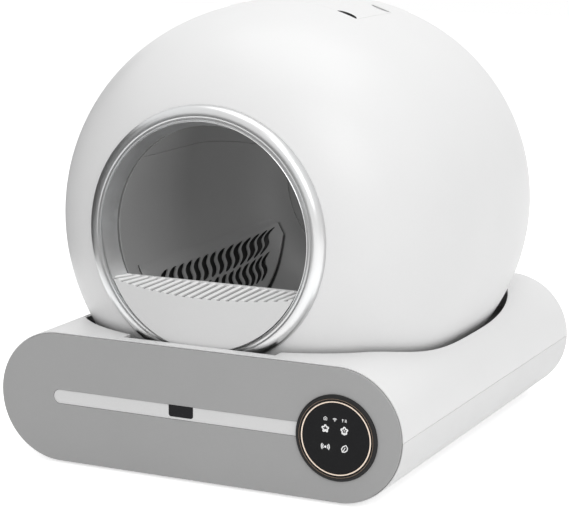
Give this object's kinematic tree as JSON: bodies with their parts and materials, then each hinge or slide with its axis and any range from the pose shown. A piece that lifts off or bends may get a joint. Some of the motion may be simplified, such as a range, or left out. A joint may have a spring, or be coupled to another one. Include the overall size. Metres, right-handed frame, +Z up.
{
  "type": "self cleaning litter box",
  "caption": "Front-entry self cleaning litter box: a round white globe with a turning sieve drum on a round-sided base with a waste drawer and a round display.",
  "frame": {"origin": "on the floor, under the middle of the whole object", "axes": "+X to the right seen from the front, +Y towards the back, +Z up; the entry faces -Y"},
  "size_m": [0.5532, 0.603, 0.5718],
  "materials": {
    "white_shell": "satin moulded white",
    "white_base": "satin moulded white, a shade lower",
    "white_step": "fine matt texture",
    "pale_strip": "fine matt texture",
    "grey_panel": "fine matt texture",
    "grey_drum": "fine matt texture",
    "grey_sieve": "fine matt texture",
    "grey_frame": "moulded",
    "brushed_silver": "bright, brushed round the bore",
    "steel": "turned",
    "bronze": "sintered",
    "rose_gold": "polished rose gold",
    "black_gloss": "polished",
    "display_glass": "polished, printed black behind",
    "rubber": "matt",
    "nylon": "natural nylon",
    "board": "solder mask"
  },
  "bodies": {
    "base": {"base_lower_shell": "white_base", "base_upper_shell": "white_shell", "rear_panel": "white_base", "power_jack": "black_gloss", "foot_front_left": "rubber", "foot_front_right": "rubber", "foot_back_left": "rubber", "foot_back_right": "rubber", "base_screw_front_left": "steel", "base_screw_front_right": "steel", "base_screw_back_left": "steel", "base_screw_back_right": "steel", "cradle_frame": "grey_frame", "drawer_rail_left": "grey_frame", "drawer_rail_right": "grey_frame", "globe_shell": "white_shell", "globe_rear_cover": "white_shell", "hatch_seal": "rubber", "entry_ring": "brushed_silver", "entry_step": "white_step", "drive_motor": "steel", "drum_axle": "steel"},
    "drum": {"drum_upper_shell": "grey_drum", "drum_lower_shell": "grey_drum", "drum_back_plate": "grey_drum", "axle_bush": "bronze", "drum_gear": "nylon", "sieve_screen": "grey_sieve"},
    "pinion": {"drive_pinion": "nylon"},
    "roller_set_left": {"roller_shaft_left": "steel", "roller_left_front": "rubber", "roller_left_back": "rubber"},
    "roller_set_right": {"roller_shaft_right": "steel", "roller_right_front": "rubber", "roller_right_back": "rubber"},
    "hatch": {"fill_hatch": "white_shell"},
    "drawer": {"drawer_front": "grey_panel", "handle_strip": "pale_strip", "sensor_window": "black_gloss", "display_bezel": "black_gloss", "display_glass": "display_glass", "accent_ring": "rose_gold", "control_board": "board", "waste_bin": "grey_frame", "bag_frame": "white_base"}
  },
  "joints": [
    {"name": "drum_spin", "type": "hinge", "parent": "base", "child": "drum", "pos_m": [0, 0.0015, 0.2952], "axis": [0, -1, 0], "range_deg": [-45, 200]},
    {"name": "pinion_spin", "type": "hinge", "parent": "base", "child": "pinion", "pos_m": [0, 0.2453, 0.1652], "axis": [0, -1, 0], "range_deg": [-805, 185]},
    {"name": "roller_left_spin", "type": "hinge", "parent": "base", "child": "roller_set_left", "pos_m": [-0.13611, 0.0015, 0.10082], "axis": [0, -1, 0], "range_deg": [-3760, 850]},
    {"name": "roller_right_spin", "type": "hinge", "parent": "base", "child": "roller_set_right", "pos_m": [0.13611, 0.0015, 0.10082], "axis": [0, -1, 0], "range_deg": [-3760, 850]},
    {"name": "hatch_lift", "type": "slide", "parent": "base", "child": "hatch", "axis": [0, 0, 1], "range_m": [0, 0.08]},
    {"name": "drawer_slide", "type": "slide", "parent": "base", "child": "drawer", "axis": [0, -1, 0], "range_m": [0, 0.26]}
  ],
  "couplings": [
    {"joint": "pinion_spin", "follows": "drum_spin", "ratio": -4},
    {"joint": "roller_left_spin", "follows": "drum_spin", "ratio": -18.75},
    {"joint": "roller_right_spin", "follows": "drum_spin", "ratio": -18.75}
  ]
}
